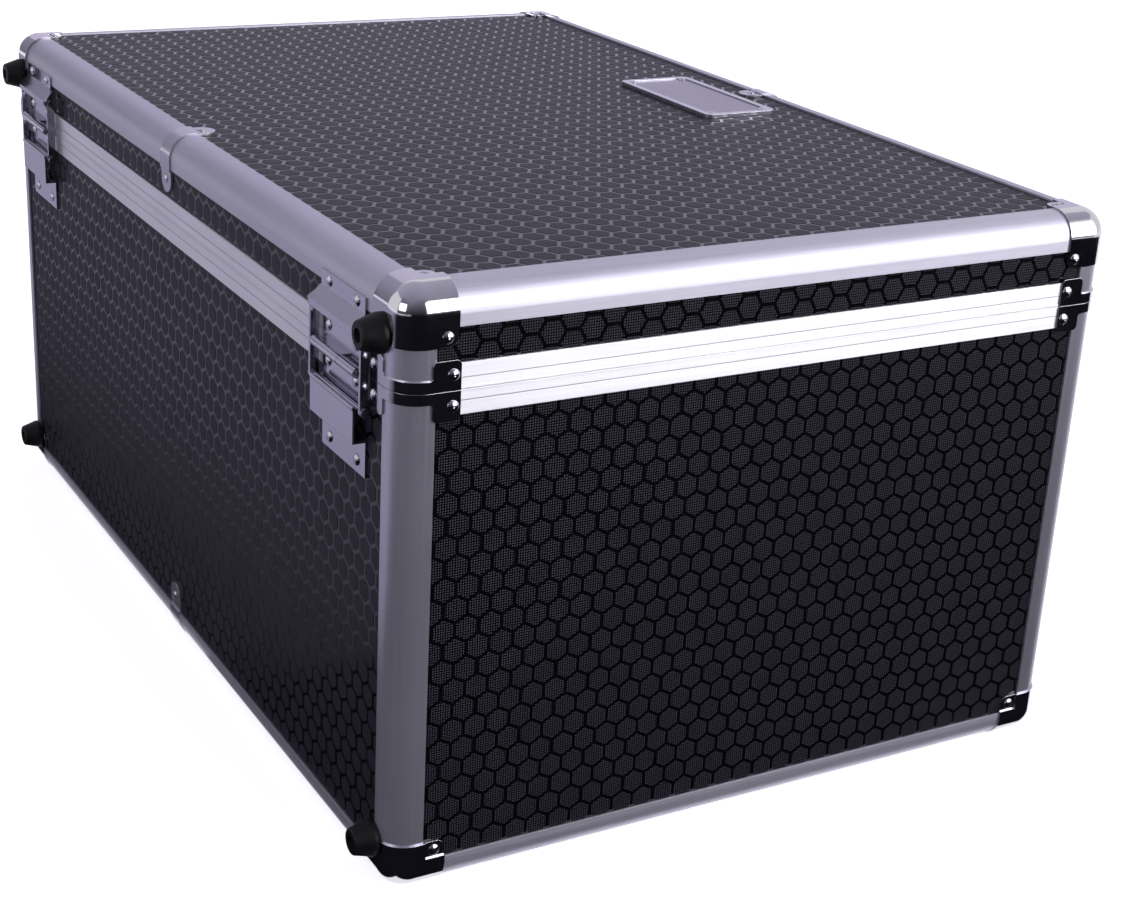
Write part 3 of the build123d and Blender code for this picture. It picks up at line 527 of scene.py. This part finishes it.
def lining(node, floor_low):
    """Felt over thin foam: one soft tray with rounded inner corners, open at the parting."""
    low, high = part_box(node)
    centre = (low + high) / 2
    size = high - low
    bm = bmesh.new()
    bmesh.ops.create_cube(bm, size=1.0)
    bm.transform(Matrix.Translation(centre) @ Matrix.Diagonal((*size, 1.0)))
    mouth_z = high.z if floor_low else low.z
    mouth = [f for f in bm.faces if all(abs(v.co.z - mouth_z) < mm for v in f.verts)]
    bmesh.ops.delete(bm, geom=mouth, context="FACES_ONLY")
    folds = [edge for edge in bm.edges if not edge.is_boundary]
    bmesh.ops.bevel(bm, geom=folds, offset=lining_fold, segments=4, affect="EDGES", profile=0.5)
    for axis in range(3):
        reach = low[axis] + lining_step
        while reach < high[axis] - lining_step / 2:
            bmesh.ops.bisect_plane(
                bm,
                geom=bm.verts[:] + bm.edges[:] + bm.faces[:],
                plane_co=Vector([reach if k == axis else 0 for k in range(3)]),
                plane_no=Vector([1 if k == axis else 0 for k in range(3)]),
            )
            reach += lining_step
    bmesh.ops.recalc_face_normals(bm, faces=bm.faces[:])
    piece = new_piece(f"{node}_felt", bm, node, finishes["lining_fabric"], smooth=True)
    for vertex in piece.data.vertices:
        broad = noise.noise(vertex.co * 18)
        fine = noise.noise(vertex.co * 60)
        puff = broad * 0.5 + fine * 0.25
        inwards = (centre - vertex.co).normalized()
        if abs(vertex.co.z - mouth_z) > mm:
            vertex.co += inwards * (0.5 + puff) * lining_puff
    first = piece.data.polygons[0]
    faces_inwards = first.normal.dot(centre - first.center) >= 0
    thick = piece.modifiers.new("felt_thickness", "SOLIDIFY")
    thick.thickness = lining_skin
    thick.offset = 1 if faces_inwards else -1
    soft = piece.modifiers.new("soft_edge", "BEVEL")
    soft.width = 0.3 * lining_skin
    soft.segments = 2
    soft.limit_method = "ANGLE"
    return piece


lining("base_lining", True)
lining("lid_lining", False)


# Grip

grip_bore = 3.4 * mm
grip_end_round = 3.5 * mm
rib_pitch = 6.0 * mm
rib_depth = 0.55 * mm
plain_end = 9.0 * mm


def ribbed_grip():
    """Moulded rubber grip, round, with finger ribs and rounded ends, bored for the bail."""
    low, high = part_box("handle_grip")
    centre = (low + high) / 2
    outside = (high.z - low.z) / 2
    half = (high.x - low.x) / 2
    steps = 180
    segments = 40
    bm = bmesh.new()

    def ring(x, radius):
        turns = [2 * math.pi * turn / segments for turn in range(segments)]
        return [
            bm.verts.new(centre + Vector((x, radius * math.cos(t), radius * math.sin(t))))
            for t in turns
        ]

    rings = []
    for step in range(steps + 1):
        x = -half + 2 * half * step / steps
        inset = max(0.0, abs(x) - (half - grip_end_round)) / grip_end_round
        radius = outside - grip_end_round * (1 - math.sqrt(max(0.0, 1 - inset * inset)))
        if abs(x) < half - plain_end:
            radius -= rib_depth * max(0.0, math.cos(2 * math.pi * x / rib_pitch)) ** 2
        rings.append(ring(x, radius))
    rings.insert(0, ring(-half, grip_bore))
    rings.append(ring(half, grip_bore))
    for near, far in zip(rings, rings[1:] + rings[:1]):
        for turn in range(segments):
            beside = (turn + 1) % segments
            bm.faces.new((near[turn], near[beside], far[beside], far[turn]))
    face_outwards(bm)
    return new_piece("ribbed_grip", bm, "handle_grip", finishes["grip_rubber"], smooth=True)


ribbed_grip()


# Studio: a white floor, soft lamps and cards that the metal reflects

floor_side = 24.0
floor_white = (0.85, 0.85, 0.85, 1.0)
floor_lift = 0.5
card_lift = 1.0 * mm


def stage_plane(name, centre, size, material, turn=(0, 0, 0)):
    """Flat stage piece."""
    bm = bmesh.new()
    bmesh.ops.create_grid(bm, x_segments=1, y_segments=1, size=0.5)
    mesh = bpy.data.meshes.new(name)
    bm.to_mesh(mesh)
    bm.free()
    piece = bpy.data.objects.new(name, mesh)
    bpy.context.scene.collection.objects.link(piece)
    piece.location = centre
    piece.scale = (*size, 1)
    piece.rotation_euler = [math.radians(angle) for angle in turn]
    mesh.materials.append(material)
    return piece


def seen_directly(tree):
    """One for the camera and for what metal and glass show, nothing for the light on things."""
    path = place(tree, "LightPath", {}).outputs
    seen = path["Is Camera Ray"]
    for kind in ("Is Glossy Ray", "Is Transmission Ray"):
        seen = place(tree, "Math", {0: seen, 1: path[kind]}, operation="MAXIMUM").outputs[0]
    return seen


def floor_paint():
    """White floor: lit by the lamps, and lifted a little for the camera and for reflections."""
    material, tree, shader = principled("floor_white", Roughness=0.9)
    shader.inputs["Specular IOR Level"].default_value = 0.0
    shader.inputs["Base Color"].default_value = floor_white
    seen = seen_directly(tree)
    lift = place(tree, "Math", {0: seen, 1: floor_lift}, operation="MULTIPLY").outputs[0]
    glow = place(tree, "Emission", {"Color": (1, 1, 1, 1), "Strength": lift})
    both = place(tree, "AddShader", {})
    tree.links.new(shader.outputs[0], both.inputs[0])
    tree.links.new(glow.outputs[0], both.inputs[1])
    output = tree.nodes["Material Output"]
    tree.links.new(both.outputs[0], output.inputs["Surface"])
    return material


def card_paint(name, low_colour, high_colour, blend):
    """Matt card whose colour runs from one to the other over a share of its second direction."""
    material, tree, shader = principled(name, Roughness=1.0)
    shader.inputs["Specular IOR Level"].default_value = 0.0
    spot = place(tree, "TexCoord", {}).outputs["Generated"]
    along = place(tree, "SeparateXYZ", {"Vector": spot}).outputs["Y"]
    tone = ramp(tree, along, (0.0, low_colour), (blend, high_colour))
    tree.links.new(tone, shader.inputs["Base Color"])
    return material


def reflected_card(name, centre, size, low_colour, high_colour, blend=1.0, turn=(0, 0, 0)):
    """Card outside the picture that only shows in the metal."""
    paint = card_paint(name, low_colour, high_colour, blend)
    card = stage_plane(name, centre, size, paint, turn)
    card.visible_camera = False
    card.visible_shadow = False
    card.visible_diffuse = False
    return card


def soft_lamp(name, at, aim, size, power, spread):
    """Rectangular soft box pointed at a place, with a grid that narrows its beam."""
    data = bpy.data.lights.new(name, "AREA")
    data.shape = "RECTANGLE"
    data.size, data.size_y = size
    data.energy = power
    data.spread = math.radians(spread)
    lamp = bpy.data.objects.new(name, data)
    bpy.context.scene.collection.objects.link(lamp)
    lamp.location = at
    lamp.rotation_euler = (Vector(aim) - Vector(at)).to_track_quat("-Z", "Y").to_euler()
    return lamp


stage_plane("floor", (0, 0, 0), (floor_side, floor_side), floor_paint())
dark = (0.008, 0.0075, 0.0105)
mid_grey = (0.24, 0.235, 0.28)
ceiling_grey = (0.36, 0.35, 0.41)
lilac_grey = (0.42, 0.405, 0.50)
soft_grey = (0.62, 0.61, 0.70)
pale = (0.80, 0.78, 0.86)
lilac_white = (0.90, 0.86, 1.0)

# Cards on the floor, one over the other: name, middle, level, size, two colours, blend, turn
unturned = (0, 0, 0)
quarter_turn = (0, 0, -90)
for name, x, y, level, size, low, high, blend, turn in (
    ("dark_card_end", -1.90, 0.2, 2, (3.0, 4.6), dark, dark, 1.0, unturned),
    ("dark_card_corner", -0.25, 1.48, 1, (0.4, 2.43), dark, dark, 1.0, unturned),
    ("grey_card_corner", 0.0, 1.72, 4, (1.95, 0.5), dark, lilac_grey, 1.0, quarter_turn),
    ("grey_card_back", 1.60, 1.67, 3, (3.4, 2.8), dark, lilac_grey, 0.07, unturned),
):
    reflected_card(name, (x, y, level * card_lift), size, low, high, blend, turn)

# Walls and a ceiling: name, middle, size, two colours, turn
for name, centre, size, low, high, turn in (
    ("dark_wall_end", (-3.4, 0, 1.8), (7.4, 3.6), dark, ceiling_grey, (90, 0, 90)),
    ("dark_wall_back", (-1.9, 3.6, 1.8), (3.4, 3.6), dark, ceiling_grey, (90, 0, 0)),
    ("lilac_wall", (5.0, -2.75, 2.4), (6.4, 4.4), lilac_white, lilac_white, (90, 0, -90)),
    ("grey_wall", (5.0, 2.25, 2.4), (3.6, 4.4), mid_grey, soft_grey, (90, 0, -90)),
    ("ceiling_card", (-1.0, 0.7, 3.6), (8, 7), ceiling_grey, pale, (0, 0, -120)),
):
    reflected_card(name, centre, size, low, high, turn=turn)

world = bpy.data.worlds.new("studio")
bpy.context.scene.world = world
world.use_nodes = True
sky = world.node_tree
backdrop = mix(sky, seen_directly(sky), scaled(pale, 1.05), (1, 1, 1))
sky.links.new(backdrop, sky.nodes["Background"].inputs["Color"])

above_end = (-0.4, -0.15, 0.60)
middle_of_back = (0, 0.26, 0.2)
soft_lamp("end_box", (-1.50, -0.90, 0.90), above_end, (1.8, 1.1), power=9.5, spread=80)
soft_lamp("back_box", (-0.9, 2.3, 1.0), middle_of_back, (1.0, 0.85), power=14, spread=180)

# Camera, from the photograph's perspective
eye = Vector((-1.3832, 0.7283, 0.7389))
backwards = Vector((-0.8029, 0.4669, 0.3707)).normalized()
roll = math.radians(3.09)
level_right = (-backwards).cross(Vector((0, 0, 1))).normalized()
level_up = level_right.cross(-backwards)
right = level_right * math.cos(roll) + level_up * math.sin(roll)
up = level_up * math.cos(roll) - level_right * math.sin(roll)
camera_data = bpy.data.cameras.new("camera")
camera_data.lens = 65.29
camera_data.sensor_width = 36.0
camera_data.clip_end = 60.0
camera = bpy.data.objects.new("camera", camera_data)
bpy.context.scene.collection.objects.link(camera)
camera.matrix_world = Matrix.Translation(eye) @ Matrix((right, up, backwards)).transposed().to_4x4()
bpy.context.scene.camera = camera
bpy.context.scene.view_settings.view_transform = "Standard"
